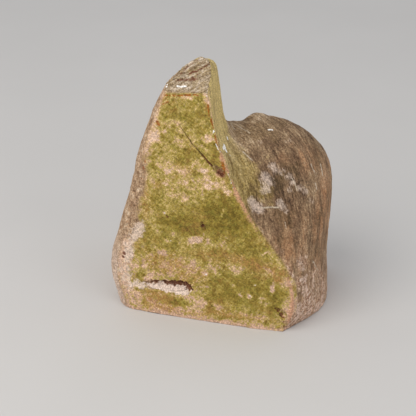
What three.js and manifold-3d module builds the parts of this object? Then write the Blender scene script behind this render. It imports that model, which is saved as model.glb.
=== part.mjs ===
import * as THREE from 'three';
import { mergeVertices } from 'three/addons/utils/BufferGeometryUtils.js';
import Module from 'manifold-3d';

// Arch keystone, one block of weathered sandstone, in millimetres.
// It is modelled from the lower right corner of its flat joint face: X runs right along that face,
// Y runs back into the stone and Z runs up. At the end the block is centred over the origin.

// Joint face and its outline
const tipHeight = 423;
const finReach = 124.5;
const finSpread = 0.075;
const cornerReach = 19;
const cornerHeight = 78;
const flankPitch = 1.44;
const footWidth = 334;
const footCornerHeight = 45;
const footCornerTurn = 30;

// The fin, the tall tapering horn behind the upper joint face
const finDepth = 104;
const finDepthGain = 0.2;
const finRecess = 0.055;
const finSideRadius = 1250;
const tipRidgeDepth = 50;
const tipBackPitch = 0.4;

// The broken facet that slopes up from the top edge of the joint face, and the step across it
const facetEdge = 391;
const facetPitch = 0.74;
const facetLean = 0.1;
const ledgeStep = 5;
const ledgeReach = 26;
const ledgeDepth = 31;
const ledgeTurn = 37;

// The block beside it, with its rounded crown
const crownHeight = 300;
const crownDepth = 160;
const cornerSteepness = 3.2;
const finSteepness = 1.7;
const bulgeReach = 45;
const bulgeDepth = 108;
const backDepth = 230;
const backLean = 0.167;
const backTurn = 0.3;
const backTurnEase = 60;
const wallWaist = 4;
const waistSpacing = 185;

// Usual slopes of three faces, which only even out the distances measured from them
const flankSlope = 0.3;
const tipSlope = 0.57;
const wallSlope = 0.48;

// How round the arrises are worn
const leftArrisFoot = 56;
const leftArrisTip = 26;
const tipArris = 10;
const finBackArris = 34;
const crownArrisFront = 14;
const crownArris = 75;
const crownBackArris = 64;
const backArris = 34;
const footCornerArris = 10;
const hollowFront = 74;
const hollowBack = 34;

// Faceting
const gridStep = 11.5;
const proudOfCut = 4;
const proudOfCrispCut = 14;
const gridMargin = 40;
const slopeSpan = 0.4;
const settlePasses = 3;
const leastSlope = 0.05;
const relaxRounds = 6;
const relaxShare = 0.6;
const weldDistance = 1e-4;
const scoopSides = 16;
const scoopRings = 10;
const cutterSize = 1200;

// Shape profiles. Each is a row of [place, value] shares, joined by a smooth curve.
// Left flank: how far it leans in, by height. Places and values are shares of the tip height.
const flankLean = [
  [0, 0.016], [0.15, -0.014], [0.31, 0.024], [0.5, 0.081], [0.65, 0.119], [0.93, 0.221], [1.05, 0.262],
];
// Tip ridge: its height across the fin, from the right arris to the left, by shares of the fin's reach.
const tipRidge = [
  [0.9, 0.965], [1.02, 0.982], [1.18, 1], [1.36, 0.958], [1.52, 0.915], [1.66, 0.875],
];
// Crown: its height across the block, from the bulge to the fin, as shares of the crown height.
const crownLine = [
  [-0.3, 0.93], [0, 0.965], [0.17, 0.982], [0.5, 1.01], [0.7, 1], [0.86, 0.955], [1.1, 0.94], [2.3, 0.9],
];

// Smooth curve through [place, value] points
function profile(points) {
  const slope = (i) => {
    const a = points[Math.max(i - 1, 0)];
    const b = points[Math.min(i + 1, points.length - 1)];
    return (b[1] - a[1]) / (b[0] - a[0]);
  };
  return (place) => {
    const x = Math.min(Math.max(place, points[0][0]), points[points.length - 1][0]);
    let i = 0;
    while (i < points.length - 2 && x > points[i + 1][0]) i += 1;
    const span = points[i + 1][0] - points[i][0];
    const t = (x - points[i][0]) / span;
    const rise = points[i + 1][1] - points[i][1];
    const start = slope(i) * span;
    const end = slope(i + 1) * span;
    const bend = 3 * rise - 2 * start - end;
    const twist = start + end - 2 * rise;
    return points[i][1] + start * t + bend * t * t + twist * t ** 3;
  };
}

// Rounded corner where two faces meet, and rounded hollow where two masses join
function hollow(a, b, size) {
  const near = Math.max(size - Math.abs(a - b), 0) / size;
  return Math.min(a, b) - near * near * size / 4;
}
const arris = (a, b, size) => -hollow(-a, -b, size);
const mix = (a, b, share) => a + (b - a) * share;
const clamp = (value) => Math.min(Math.max(value, 0), 1);

const flankFoot = footWidth - bulgeReach;
const leanAt = profile(flankLean);
const ridgeAt = profile(tipRidge);
const crownAt = profile(crownLine);

// Each function below is a distance from one face, below zero inside the stone.
function leftFlank(x, z) {
  const edge = -flankFoot + leanAt(z / tipHeight) * tipHeight;
  return (edge - x) / Math.hypot(1, flankSlope);
}

function finSide(x, y, z) {
  const edge = -finReach + finSpread * (tipHeight - z);
  return x - edge + finRecess * y + y * y / (2 * finSideRadius);
}

function tip(x, y, z) {
  const share = -x / finReach;
  const ridge = tipHeight * ridgeAt(share);
  return (z - ridge + tipBackPitch * (y - tipRidgeDepth)) / Math.hypot(1, tipBackPitch, tipSlope);
}

function finBack(y, z) {
  return (y - finDepth - finDepthGain * (tipHeight - z)) / Math.hypot(1, finDepthGain);
}

function crown(x, y, z) {
  const share = -x / finReach;
  const top = crownHeight * crownAt(share);
  const edge = Math.min(cornerHeight - flankPitch * (x - cornerReach), top);
  const steepness = mix(cornerSteepness, finSteepness, clamp(share));
  const left = 1 - Math.min(y / crownDepth, 1);
  const rise = 1 - left ** steepness;
  const slopeIn = (top - edge) * steepness * left ** (steepness - 1) / crownDepth;
  const slopeAcross = flankPitch * (1 - rise);
  return (z - mix(edge, top, rise)) / Math.hypot(1, slopeIn, slopeAcross);
}

function rightWall(x, y, z) {
  const waist = wallWaist * (1 - Math.cos(2 * Math.PI * z / waistSpacing)) / 2;
  const t = y / bulgeDepth;
  const edge = t < 1
    ? mix(bulgeReach, cornerReach, (1 - t) ** 2)
    : bulgeReach - backTurn * (y - bulgeDepth) ** 2 / (y - bulgeDepth + backTurnEase);
  return (x - edge + waist) / Math.hypot(1, wallSlope);
}

// The foot corner is worn back to the origin, along a plane through the foot's edge and the arris above it
const footEdge = new THREE.Vector3(0, 1, 0).applyAxisAngle(
  new THREE.Vector3(0, 0, 1),
  -THREE.MathUtils.degToRad(footCornerTurn),
);
const cornerArris = new THREE.Vector3(cornerReach, 0, footCornerHeight);
const cornerFacing = footEdge.clone().cross(cornerArris).normalize();

function footCorner(x, y, z) {
  return x * cornerFacing.x + y * cornerFacing.y + z * cornerFacing.z;
}

function backFace(y, z) {
  return (y - backDepth + backLean * z) / Math.hypot(1, backLean);
}

function stone(x, y, z) {
  const fin = arris(arris(finSide(x, y, z), finBack(y, z), finBackArris), tip(x, y, z), tipArris);
  const crownSize = mix(crownArrisFront, crownArris, clamp(y / bulgeDepth));
  const block = arris(crown(x, y, z), rightWall(x, y, z), crownSize);
  const hollowSize = mix(hollowFront, hollowBack, clamp(y / finDepth));
  const mass = hollow(fin, block, hollowSize);
  const leftSize = mix(leftArrisFoot, leftArrisTip, clamp(z / tipHeight));
  const left = leftFlank(x, z);
  const proud = mix(proudOfCut, proudOfCrispCut, clamp(-left / leftSize - 1));
  const front = Math.max(-y - proud, mass);
  const sides = arris(front, left, leftSize);
  const corner = arris(sides, footCorner(x, y, z), footCornerArris);
  const backSize = mix(backArris, crownBackArris, clamp(z / crownHeight));
  const worn = arris(corner, backFace(y, z) - proudOfCut, backSize);
  return Math.max(worn, -z - proudOfCrispCut);
}

// The direction in which the field grows, as long as its rate
function steepest(field, p) {
  const h = slopeSpan;
  return new THREE.Vector3(
    field(p.x + h, p.y, p.z) - field(p.x - h, p.y, p.z),
    field(p.x, p.y + h, p.z) - field(p.x, p.y - h, p.z),
    field(p.x, p.y, p.z + h) - field(p.x, p.y, p.z - h),
  ).divideScalar(2 * h);
}

// Bring a point onto the surface
function settle(field, p) {
  for (let pass = 0; pass < settlePasses; pass += 1) {
    const uphill = steepest(field, p);
    const stride = field(p.x, p.y, p.z) / Math.max(uphill.lengthSq(), leastSlope);
    p.addScaledVector(uphill, -THREE.MathUtils.clamp(stride, -gridStep / 2, gridStep / 2));
  }
}

// Closed net of triangles where the field is zero, with one corner in each grid cell that it crosses
function netOf(field, low, high, step) {
  const count = high.clone().sub(low).divideScalar(step).ceil().addScalar(1);
  const at = (i, j, k) => (k * count.y + j) * count.x + i;
  const value = new Float64Array(count.x * count.y * count.z);
  for (let k = 0; k < count.z; k += 1) {
    for (let j = 0; j < count.y; j += 1) {
      for (let i = 0; i < count.x; i += 1) {
        value[at(i, j, k)] = field(low.x + i * step, low.y + j * step, low.z + k * step);
      }
    }
  }
  const points = [];
  const cornerOf = new Map();
  for (let k = 0; k < count.z - 1; k += 1) {
    for (let j = 0; j < count.y - 1; j += 1) {
      for (let i = 0; i < count.x - 1; i += 1) {
        let inside = 0;
        for (let c = 0; c < 8; c += 1) {
          if (value[at(i + (c & 1), j + ((c >> 1) & 1), k + (c >> 2))] < 0) inside += 1;
        }
        if (inside === 0 || inside === 8) continue;
        cornerOf.set(at(i, j, k), points.length);
        points.push(new THREE.Vector3(i + 0.5, j + 0.5, k + 0.5).multiplyScalar(step).add(low));
      }
    }
  }
  const quads = [];
  const axes = [[1, 0, 0], [0, 1, 0], [0, 0, 1]];
  for (let k = 1; k < count.z - 1; k += 1) {
    for (let j = 1; j < count.y - 1; j += 1) {
      for (let i = 1; i < count.x - 1; i += 1) {
        axes.forEach((along, axis) => {
          const a = value[at(i, j, k)] < 0;
          const b = value[at(i + along[0], j + along[1], k + along[2])] < 0;
          if (a === b) return;
          const u = axes[(axis + 1) % 3];
          const v = axes[(axis + 2) % 3];
          const cell = (m, n) => cornerOf.get(at(
            i - m * u[0] - n * v[0],
            j - m * u[1] - n * v[1],
            k - m * u[2] - n * v[2],
          ));
          const ring = [cell(1, 1), cell(0, 1), cell(0, 0), cell(1, 0)];
          quads.push(a ? ring : ring.reverse());
        });
      }
    }
  }
  return { points, quads };
}

// Even out the net along the surface and bring it back onto it
function relax(field, net) {
  for (let round = 0; round < relaxRounds; round += 1) {
    const sums = net.points.map(() => new THREE.Vector3());
    const shares = net.points.map(() => 0);
    net.quads.forEach((ring) => {
      ring.forEach((corner, n) => {
        sums[corner].add(net.points[ring[(n + 1) % 4]]);
        shares[corner] += 1;
      });
    });
    net.points.forEach((p, n) => {
      p.lerp(sums[n].divideScalar(shares[n]), relaxShare);
      settle(field, p);
    });
  }
}

function geometryOf(net) {
  const index = [];
  net.quads.forEach(([a, b, c, d]) => {
    const p = net.points;
    if (p[a].distanceTo(p[c]) <= p[b].distanceTo(p[d])) index.push(a, b, c, a, c, d);
    else index.push(a, b, d, b, c, d);
  });
  const geometry = new THREE.BufferGeometry();
  const corners = net.points.flatMap((p) => p.toArray());
  geometry.setAttribute('position', new THREE.Float32BufferAttribute(corners, 3));
  geometry.setIndex(index);
  return geometry;
}

// Joining and cutting
const wasm = await Module();
wasm.setup();

function solidOf(geometry) {
  const bare = geometry.clone();
  bare.deleteAttribute('normal');
  bare.deleteAttribute('uv');
  const merged = mergeVertices(bare, weldDistance);
  return new wasm.Manifold(new wasm.Mesh({
    numProp: 3,
    vertProperties: new Float32Array(merged.attributes.position.array),
    triVerts: new Uint32Array(merged.index.array),
  }));
}

function bufferOf(solid) {
  const { vertProperties, triVerts } = solid.getMesh();
  const geometry = new THREE.BufferGeometry();
  geometry.setAttribute('position', new THREE.BufferAttribute(vertProperties, 3));
  geometry.setIndex(new THREE.BufferAttribute(triVerts, 1));
  return geometry;
}

// Box whose lower face lies on the plane z = 0, before it is turned and moved
function cutter() {
  return new THREE.BoxGeometry(cutterSize, cutterSize, cutterSize).translate(0, 0, cutterSize / 2);
}

const belowFoot = cutter().rotateX(Math.PI);
const beforeJoint = cutter().rotateX(Math.PI / 2);
const behindBack = cutter().rotateX(-Math.PI / 2 + Math.atan(backLean)).translate(0, backDepth, 0);

// Turn that lays a cutter's lower face on the broken facet
const facetTurn = new THREE.Quaternion().setFromUnitVectors(
  new THREE.Vector3(0, 0, 1),
  new THREE.Vector3(-facetLean, -facetPitch, 1).normalize(),
);
const onFacet = (geometry) => geometry.applyQuaternion(facetTurn).translate(-finReach, 0, facetEdge);
const aboveFacet = onFacet(cutter());

// The facet is one step lower in front of the ledge line
const belowLedge = onFacet(cutter()
  .translate(0, -cutterSize / 2, -ledgeStep)
  .rotateZ(THREE.MathUtils.degToRad(ledgeTurn))
  .translate(-ledgeReach, ledgeDepth * Math.hypot(1, facetPitch), 0));

// Hollow broken or worn out of the joint face: an egg-shaped scoop, turned in the face
function scoop({ reachLeft, height, length, width, depth, turn }) {
  return new THREE.SphereGeometry(1, scoopSides, scoopRings)
    .scale(length / 2, depth, width / 2)
    .rotateY(-THREE.MathUtils.degToRad(turn))
    .translate(-reachLeft, 0, height)
    .scale(tipHeight, tipHeight, tipHeight);
}

// The long groove, the chip where the crack ends, a pock, and the chip and two slots at the foot corner.
// All but the turn, in degrees, are shares of the tip height.
const scoops = [
  { reachLeft: 0.444, height: 0.125, length: 0.199, width: 0.036, depth: 0.024, turn: 4.5 },
  { reachLeft: 0.246, height: 0.624, length: 0.064, width: 0.028, depth: 0.019, turn: -40 },
  { reachLeft: 0.307, height: 0.397, length: 0.026, width: 0.017, depth: 0.012, turn: -50 },
  { reachLeft: 0.009, height: 0.080, length: 0.059, width: 0.024, depth: 0.014, turn: -38 },
  { reachLeft: 0.021, height: 0.031, length: 0.043, width: 0.011, depth: 0.014, turn: 86 },
  { reachLeft: -0.009, height: 0.031, length: 0.047, width: 0.011, depth: 0.014, turn: 84 },
];

const low = new THREE.Vector3(-flankFoot, 0, 0).subScalar(gridMargin);
const high = new THREE.Vector3(bulgeReach, backDepth, tipHeight).addScalar(gridMargin);
const net = netOf(stone, low, high, gridStep);
relax(stone, net);
const block = solidOf(geometryOf(net))
  .subtract(solidOf(belowFoot))
  .subtract(solidOf(beforeJoint))
  .subtract(solidOf(behindBack))
  .subtract(solidOf(aboveFacet))
  .subtract(solidOf(belowLedge));
const chipped = scoops.reduce((solid, size) => solid.subtract(solidOf(scoop(size))), block);

const shape = bufferOf(chipped);
shape.computeBoundingBox();
const middle = shape.boundingBox.getCenter(new THREE.Vector3());
shape.translate(-middle.x, -middle.y, 0);
shape.computeVertexNormals();

const keystone = new THREE.Mesh(shape, new THREE.MeshStandardMaterial({
  color: 0x8b8265,
  roughness: 0.95,
  metalness: 0,
}));
keystone.name = 'keystone';

const part = new THREE.Group();
part.add(keystone);

export default part;
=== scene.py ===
import bpy
import math
import numpy as np
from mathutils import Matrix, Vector


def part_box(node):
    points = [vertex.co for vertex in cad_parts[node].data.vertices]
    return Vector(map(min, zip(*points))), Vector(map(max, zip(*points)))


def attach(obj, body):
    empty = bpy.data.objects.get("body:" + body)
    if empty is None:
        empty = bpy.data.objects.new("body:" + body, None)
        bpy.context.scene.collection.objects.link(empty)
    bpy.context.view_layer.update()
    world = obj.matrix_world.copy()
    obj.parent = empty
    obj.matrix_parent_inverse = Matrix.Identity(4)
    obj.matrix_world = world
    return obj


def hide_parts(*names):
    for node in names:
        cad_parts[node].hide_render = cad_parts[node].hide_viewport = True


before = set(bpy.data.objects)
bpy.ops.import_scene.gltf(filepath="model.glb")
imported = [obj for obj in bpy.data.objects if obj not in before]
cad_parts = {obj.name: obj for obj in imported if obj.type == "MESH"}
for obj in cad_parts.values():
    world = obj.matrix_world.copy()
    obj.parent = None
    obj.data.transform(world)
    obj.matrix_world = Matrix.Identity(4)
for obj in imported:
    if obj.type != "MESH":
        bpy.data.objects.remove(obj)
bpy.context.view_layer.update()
scene = bpy.context.scene
print("frame loaded")

studio = {
    "cameraPlace": (0.48695, -1.8025, 1.0948),
    "cameraTurn": (63.0, 0.0, 16.0),  # degrees
    "lens": 112.5,
    "sensorWidth": 36.0,
    "aimPlace": (0, 0, 0.2),
    "keyPower": 50.0,
    "keyPlace": (-0.95, -1.9, 2.5),
    "keySize": 2.6,
    "keyColour": (1.0, 0.975, 0.94),
    "fillPower": 16.0,
    "fillPlace": (2.4, -1.6, 1.5),
    "fillSize": 2.2,
    "fillColour": (0.95, 0.97, 1.0),
    "worldColour": (0.86, 0.88, 0.92),
    "worldStrength": 0.68,
    "floorColour": (0.62, 0.60, 0.575),
    "floorPlay": 1.02,       # how much lighter the floor's light places are
    "floorSize": 16.0,
}


def aimAt(place, target):
    return (Vector(target) - Vector(place)).to_track_quat("-Z", "Y").to_euler()


def addArea(name, place, size, power, colour):
    light = bpy.data.lights.new(name, "AREA")
    light.shape = "DISK"
    light.size = size
    light.energy = power
    light.color = colour
    lamp = bpy.data.objects.new(name, light)
    lamp.location = place
    lamp.rotation_euler = aimAt(place, studio["aimPlace"])
    scene.collection.objects.link(lamp)


cameraData = bpy.data.cameras.new("camera")
cameraData.lens = studio["lens"]
cameraData.sensor_width = studio["sensorWidth"]
camera = bpy.data.objects.new("camera", cameraData)
camera.location = studio["cameraPlace"]
camera.rotation_euler = [math.radians(a) for a in studio["cameraTurn"]]
scene.collection.objects.link(camera)
scene.camera = camera

addArea("keyLight", studio["keyPlace"], studio["keySize"], studio["keyPower"], studio["keyColour"])
addArea("fillLight", studio["fillPlace"], studio["fillSize"], studio["fillPower"], studio["fillColour"])

world = bpy.data.worlds.new("studioWorld")
world.use_nodes = True
world.node_tree.nodes["Background"].inputs["Color"].default_value = (*studio["worldColour"], 1.0)
world.node_tree.nodes["Background"].inputs["Strength"].default_value = studio["worldStrength"]
scene.world = world
scene.view_settings.view_transform = "Standard"
scene.view_settings.look = "None"
print("camera and lights placed")


def deselectAll():
    if bpy.context.object and bpy.context.object.mode != "OBJECT":
        bpy.ops.object.mode_set(mode="OBJECT")
    bpy.ops.object.select_all(action="DESELECT")


def makeActive(piece):
    deselectAll()
    piece.select_set(True)
    bpy.context.view_layer.objects.active = piece


def softStep(low, high, value):
    t = np.clip((value - low) / (high - low), 0.0, 1.0)
    return t * t * (3.0 - 2.0 * t)


def latticeValue(i, j, k, seed):
    h = (i * 374761393 + j * 668265263 + k * 1274126177 + seed * 974634777) & 0xFFFFFFFF
    h = ((h ^ (h >> 13)) * 1103515245) & 0xFFFFFFFF
    h = ((h ^ (h >> 16)) * 12820163) & 0xFFFFFFFF
    return ((h ^ (h >> 15)) & 0xFFFF) / 32767.5 - 1.0


# value noise from -1 to 1; size is the width of one swell, in mm, for each axis
def softNoise(points, size, seed):
    q = points / np.asarray(size, float) + 37.7
    base = np.floor(q).astype(np.int64)
    t = q - base
    w = t * t * t * (t * (t * 6.0 - 15.0) + 10.0)
    total = np.zeros(len(points))
    for a in (0, 1):
        for b in (0, 1):
            for c in (0, 1):
                value = latticeValue(base[:, 0] + a, base[:, 1] + b, base[:, 2] + c, seed)
                share = (w[:, 0] if a else 1 - w[:, 0]) * (w[:, 1] if b else 1 - w[:, 1])
                total += value * share * (w[:, 2] if c else 1 - w[:, 2])
    return total


def roughNoise(points, size, seed, octaves):
    total = np.zeros(len(points))
    weight = 1.0
    for n in range(octaves):
        total += weight * softNoise(points, np.asarray(size, float) / 2 ** n, seed + n)
        weight *= 0.55
    return total


# All places are in millimetres from the lower right corner of the joint face:
# across that face, into the stone, and up.
stone = {
    "voxel": 115 / 49,       # a whole number of them reaches from the middle to the joint face
    "smoothRounds": 42,
    "crispShare": 0.07,      # how much of the smoothing reaches the crisp arrises
    "cornerInset": 45.0,     # joint face's right corner, in from the widest place
    "beddingAngle": 49.0,    # way across the bedding, in degrees from the joint face
    "facetPoint": (-124.5, 0.0, 391.0),
    "facetNormal": (-0.080, -0.593, 0.801),
    "backDepth": 230.0,      # from the joint face to the foot of the back
    "backSlope": 0.167,
    "arrisRounds": 7,        # widens the arrises' mask
    "facePlay": 0.45,        # swell of the flat joint face
    "sidePlay": 0.8,         # swell of the flank, the left side, the fin and the back
    "flankPlay": 1.3,        # broad folds of the weathered flank
    "streakDepth": 0.75,     # furrows along the bedding
    "pitDepth": 1.3,         # pits in the left flank
    "edgeBite": 2.4,         # bites out of the arrises
    "lumpHeight": 5.0,
    "dentDepth": 2.6,
    "crownLump": [(-90, 150, 296, 14, 1.0)],
    "crownDent": [(-48, 135, 303, 18, 1.0)],
    "lineDepth": 1.1,        # of the dark drawn lines
    "holeDepth": 1.8,
    "footBow": 3.4,          # how far the foot of the joint face stands forward
    "crackWidth": 1.7,
    "crackDepth": 3.0,
    "crack": [(-170, 336), (-157, 318), (-147, 303), (-139, 295), (-130, 286), (-122, 277), (-112, 267)],
    "grooveTop": [
        (-238, 52), (-228, 55), (-217, 58), (-201, 61), (-184, 64), (-168, 66), (-158, 66), (-151, 62),
        (-148, 54),
    ],
    "grooveFoot": [(-236, 44), (-218, 44), (-201, 43), (-188, 39), (-171, 37), (-155, 41), (-148, 50)],
    "grooveDepth": 9.0,
    # left edge of the moss: up, across; and its lower edge: across, up
    "mossLeft": [
        (0, -262), (35, -255), (62, -254), (86, -255), (109, -248), (127, -242), (156, -228), (172, -235),
        (190, -231), (208, -224), (234, -220), (260, -218), (285, -213), (303, -204), (320, -199),
        (336, -197), (352, -196), (368, -193), (380, -188), (430, -180),
    ],
    "mossFoot": [
        (-265, 58), (-250, 48), (-225, 26), (-190, 15), (-140, 16), (-120, 13), (-90, 9), (0, 11), (20, 16),
    ],
    # bare places in the moss: across, up, half width, half height, turn in degrees, strength
    "bare": [
        (-181, 265, 8, 8, 0, 0.5), (-124, 241, 8, 14, 15, 0.85), (-130, 261, 7, 4, 0, 0.9),
        (-101, 243, 12, 7, 10, 0.6), (-120, 315, 9, 8, 0, 0.6), (-125, 380, 6, 8, 0, 0.9),
        (-161, 298, 7, 2.5, -10, 0.6), (-154, 376, 12, 3, 0, 0.6), (-190, 318, 4, 4, 0, 0.8),
        (-200, 307, 6, 7, 0, 0.8), (-168, 306, 6, 4, 0, 0.4), (-158, 209, 8, 6, 0, 0.6),
        (-191, 183, 3, 3, 0, 0.8), (-141, 143, 12, 6, 25, 1.0), (-120, 142, 6, 5, 0, 0.6),
        (-192, 110, 6, 2.5, -20, 0.9), (-220, 91, 9, 16, 0, 0.5), (-245, 84, 7, 22, 0, 0.6),
        (-151, 91, 16, 16, 0, 0.3), (-125, 85, 3, 3, 0, 0.8), (-132, 30, 11, 8, 0, 0.7),
        (-70, 56, 5, 2.5, -20, 1.0), (-54, 56, 5, 4, 0, 0.9), (-46, 77, 4, 3, 0, 0.8),
        (-82, 70, 4, 3, 0, 0.6), (-19, 73, 3, 10, -10, 0.8), (-26, 107, 7, 3, -20, 0.7),
        (0, 90, 9, 7, -40, 0.7), (17, 80, 7, 14, 0, 0.5), (-163, 259, 12, 9, 0, 0.4),
        (10, 40, 12, 20, 0, 0.6), (-207, 16, 18, 6, -8, 0.2), (-248, 20, 14, 16, 0, 0.5),
        (-150, 15, 18, 6, 0, 0.7), (-107, 30, 9, 5, 0, 0.5), (-30, 50, 9, 7, 0, 0.5),
        (-40, 22, 14, 5, 0, 0.5), (-88, 22, 10, 5, 0, 0.4), (-200, 262, 6, 8, 0, 0.35),
        (-212, 240, 5, 14, 0, 0.25), (-190, 235, 8, 6, 0, 0.45), (-160, 240, 8, 7, 0, 0.35),
        (-182, 256, 7, 9, 20, 0.5), (-205, 285, 7, 10, 0, 0.3), (-92, 232, 9, 5, -30, 0.6),
        (-110, 222, 6, 4, 0, 0.4), (-112, 100, 12, 9, 0, 0.3), (-75, 100, 12, 10, 0, 0.3),
        (-178, 110, 6, 4, 0, 0.3), (-190, 88, 14, 9, 0, 0.25), (-170, 78, 12, 5, 0, 0.25),
        (-215, 70, 10, 6, 0, 0.6), (-195, 112, 7, 4, 20, 0.6), (-160, 108, 6, 3, 0, 0.5),
        (-176, 148, 5, 3, 0, 0.5), (-190, 135, 5, 3, 0, 0.45), (-222, 60, 12, 5, 0, 0.6),
    ],
    # thick dark moss: the same six numbers
    "thickMoss": [
        (-92, 188, 52, 30, -40, 1.0), (-145, 163, 52, 22, 0, 0.85), (-62, 138, 42, 20, -40, 0.65),
        (-205, 140, 26, 14, 0, 0.5), (-64, 68, 48, 28, 0, 0.85), (-108, 52, 20, 22, 0, 0.7),
        (-18, 55, 22, 24, 0, 0.75), (-162, 350, 22, 20, 0, 0.45), (-138, 325, 14, 16, 0, 0.3),
        (-116, 290, 9, 16, 0, 0.5), (-176, 26, 22, 9, 0, 0.9), (-150, 285, 16, 14, 0, 0.3),
        (-230, 96, 6, 16, 0, 0.4), (-185, 125, 20, 10, 0, 0.4), (-128, 30, 12, 10, 0, 0.5),
        (-110, 122, 60, 14, 0, 0.45), (-205, 190, 18, 34, 0, 0.25),
    ],
    # orange brown places in the moss
    "stains": [
        (-207, 32, 30, 11, 0, 1.0), (-190, 16, 28, 9, 0, 0.9), (-60, 116, 46, 10, -8, 0.8),
        (-12, 102, 16, 12, -45, 1.0), (-115, 118, 34, 9, 0, 0.6), (-190, 92, 34, 20, 0, 0.7),
        (-150, 80, 26, 18, 0, 0.6), (-222, 200, 7, 40, 0, 0.5), (-190, 372, 6, 8, 0, 0.6),
        (-126, 366, 5, 8, 0, 0.6), (-60, 20, 50, 6, 0, 0.6), (-160, 12, 40, 5, 0, 0.6),
    ],
    # thin moss that lets the cream stone through
    "thinMoss": [
        (-178, 235, 42, 30, 0, 0.7), (-150, 258, 34, 20, 0, 0.7), (-203, 220, 22, 30, 0, 0.4),
        (-152, 332, 30, 36, 0, 0.5), (-150, 90, 70, 22, 0, 0.35), (-165, 325, 30, 40, 0, 0.2),
    ],
    # lines: half width, strength, places across, in, up
    "shadowLines": [
        (1.3, 0.75, [(-175, 20, 394), (-167, 24, 398), (-158, 29, 403)]),
        (1.7, 1.0, [(-159, 28, 402), (-154, 31, 405), (-148, 32, 406)]),
        (1.1, 0.8, [(-148, 33, 407), (-140, 37, 411), (-134, 42, 415), (-131, 48, 418)]),
        (2.4, 0.65, [(-176, 19, 394), (-166, 20, 396), (-155, 21, 397), (-145, 22, 399)]),
        (1.7, 0.5, [(-171, 24, 404), (-164, 31, 410), (-157, 37, 415), (-149, 42, 420)]),
        (0.8, 0.6, [(-147, 3, 385), (-134, 2, 385)]),
        (1.1, 1.0, [(-119, 0, 274), (-113, 1, 268), (-106, 3, 262), (-101, 4, 258)]),
    ],
    "rustLines": [
        (1.3, 0.9, [(-188, 0, 377), (-184, 0, 377)]), (1.2, 0.8, [(-181, 0, 377), (-180, 0, 377)]),
        (1.3, 1.0, [(-177, 0, 380), (-174, 0, 377)]), (1.0, 0.7, [(-172, 0, 380), (-171, 0, 377)]),
        (1.0, 0.8, [(-168, 0, 378), (-158, 0, 380)]), (1.5, 1.0, [(-157, 0, 380), (-149, 0, 381)]),
        (1.0, 0.8, [(-145, 0, 383), (-143, 0, 382)]), (1.3, 1.0, [(-142, 0, 383), (-137, 0, 382)]),
        (1.2, 1.0, [(-122, 0, 369), (-121, 0, 358)]), (1.0, 0.7, [(-121, 0, 358), (-120, 0, 350)]),
        (1.6, 1.0, [(-117, 0, 346), (-116, 0, 342)]), (1.5, 1.0, [(-115, 0, 339), (-113, 0, 333)]),
        (1.3, 0.9, [(-111, 0, 322), (-109, 0, 310)]), (1.0, 0.6, [(-109, 0, 310), (-107, 0, 300)]),
        (1.4, 0.7, [(-191, 0, 362), (-188, 0, 364), (-182, 0, 367)]),
        (2.0, 0.95, [(-201, 0, 333), (-198, 0, 329)]), (1.4, 0.6, [(-221, 0, 268), (-220, 0, 263)]),
        (1.4, 0.6, [(-224, 0, 256), (-222, 0, 251)]),
        (2.6, 0.8, [(-100, 0, 278), (-97, 0, 269), (-98, 5, 259)]),
    ],
    "scratchLines": [
        (1.0, 0.9, [(-119, 121, 291), (-113, 110, 289), (-108, 105, 287)]),
        (1.0, 0.9, [(-107, 120, 287), (-94, 104, 290), (-82, 93, 290)]),
        (1.2, 0.8, [(-83, 56, 274), (-76, 54, 270), (-67, 52, 264)]),
        (1.3, 0.8, [(28, 104, 246), (31, 100, 240), (34, 95, 232)]),
        (1.2, 0.75, [(17, 86, 253), (20, 83, 248), (24, 83, 242)]),
        (1.2, 0.75, [(27, 73, 228), (30, 71, 219)]),
        (1.4, 0.7, [(33, 49, 106), (35, 57, 94), (38, 68, 80)]),
        (1.0, 0.7, [(-5, 54, 241), (1, 51, 233), (5, 47, 224)]), (1.0, 0.6, [(-7, 22, 182), (-4, 20, 172)]),
        (1.2, 0.8, [(-42, 18, 203), (-31, 23, 203), (-18, 28, 202)]),
        (1.6, 0.9, [(33, 79, 245), (38, 80, 232), (40, 78, 220)]),
        (0.9, 0.6, [(-70, 90, 290), (-52, 80, 288)]),
        (0.9, 0.6, [(-40, 70, 272), (-22, 66, 264), (-8, 62, 254)]),
        (0.9, 0.5, [(0, 110, 290), (18, 104, 276)]),
    ],
    "paleLines": [
        (1.4, 0.8, [(-137, 0, 278), (-144, 0, 269), (-152, 0, 258)]),
        (1.2, 0.7, [(-136, 0, 247), (-139, 0, 238), (-144, 0, 228)]),
        (1.2, 0.7, [(-130, 0, 233), (-130, 0, 220)]),
        (1.2, 0.6, [(-114, 0, 233), (-105, 0, 239), (-97, 0, 241)]),
        (1.2, 0.6, [(-119, 0, 243), (-109, 0, 244)]), (1.0, 0.6, [(-120, 0, 272), (-114, 2, 270)]),
        (1.6, 0.7, [(-148, 0, 39), (-138, 0, 32), (-127, 0, 19)]),
        (1.0, 0.8, [(-135, 0, 60), (-122, 0, 62)]), (1.1, 0.7, [(-182, 0, 212), (-169, 0, 217)]),
        (0.9, 0.6, [(-98, 0, 200), (-101, 0, 188)]), (0.9, 0.6, [(-93, 0, 155), (-100, 0, 138)]),
        (0.9, 0.5, [(-109, 0, 94), (-112, 0, 79)]), (1.2, 0.8, [(-18, 0, 86), (-21, 0, 69)]),
        (0.9, 0.6, [(-127, 0, 158), (-132, 0, 144)]), (1.1, 0.6, [(-30, 0, 138), (-35, 0, 132)]),
        (1.1, 0.6, [(-28, 0, 109), (-23, 0, 106)]),
    ],
    # spots: across, in, up, radius, strength
    "chips": [
        (-188, 12, 389, 1.3, 1), (-188, 10, 386, 1.4, 1), (-105, 29, 296, 1.8, 1), (-103, 29, 291, 1.5, 1),
        (-106, 58, 292, 1.6, 0.9), (-117, 0, 353, 1.0, 0.8), (-113, 0, 328, 1.7, 0.9),
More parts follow.
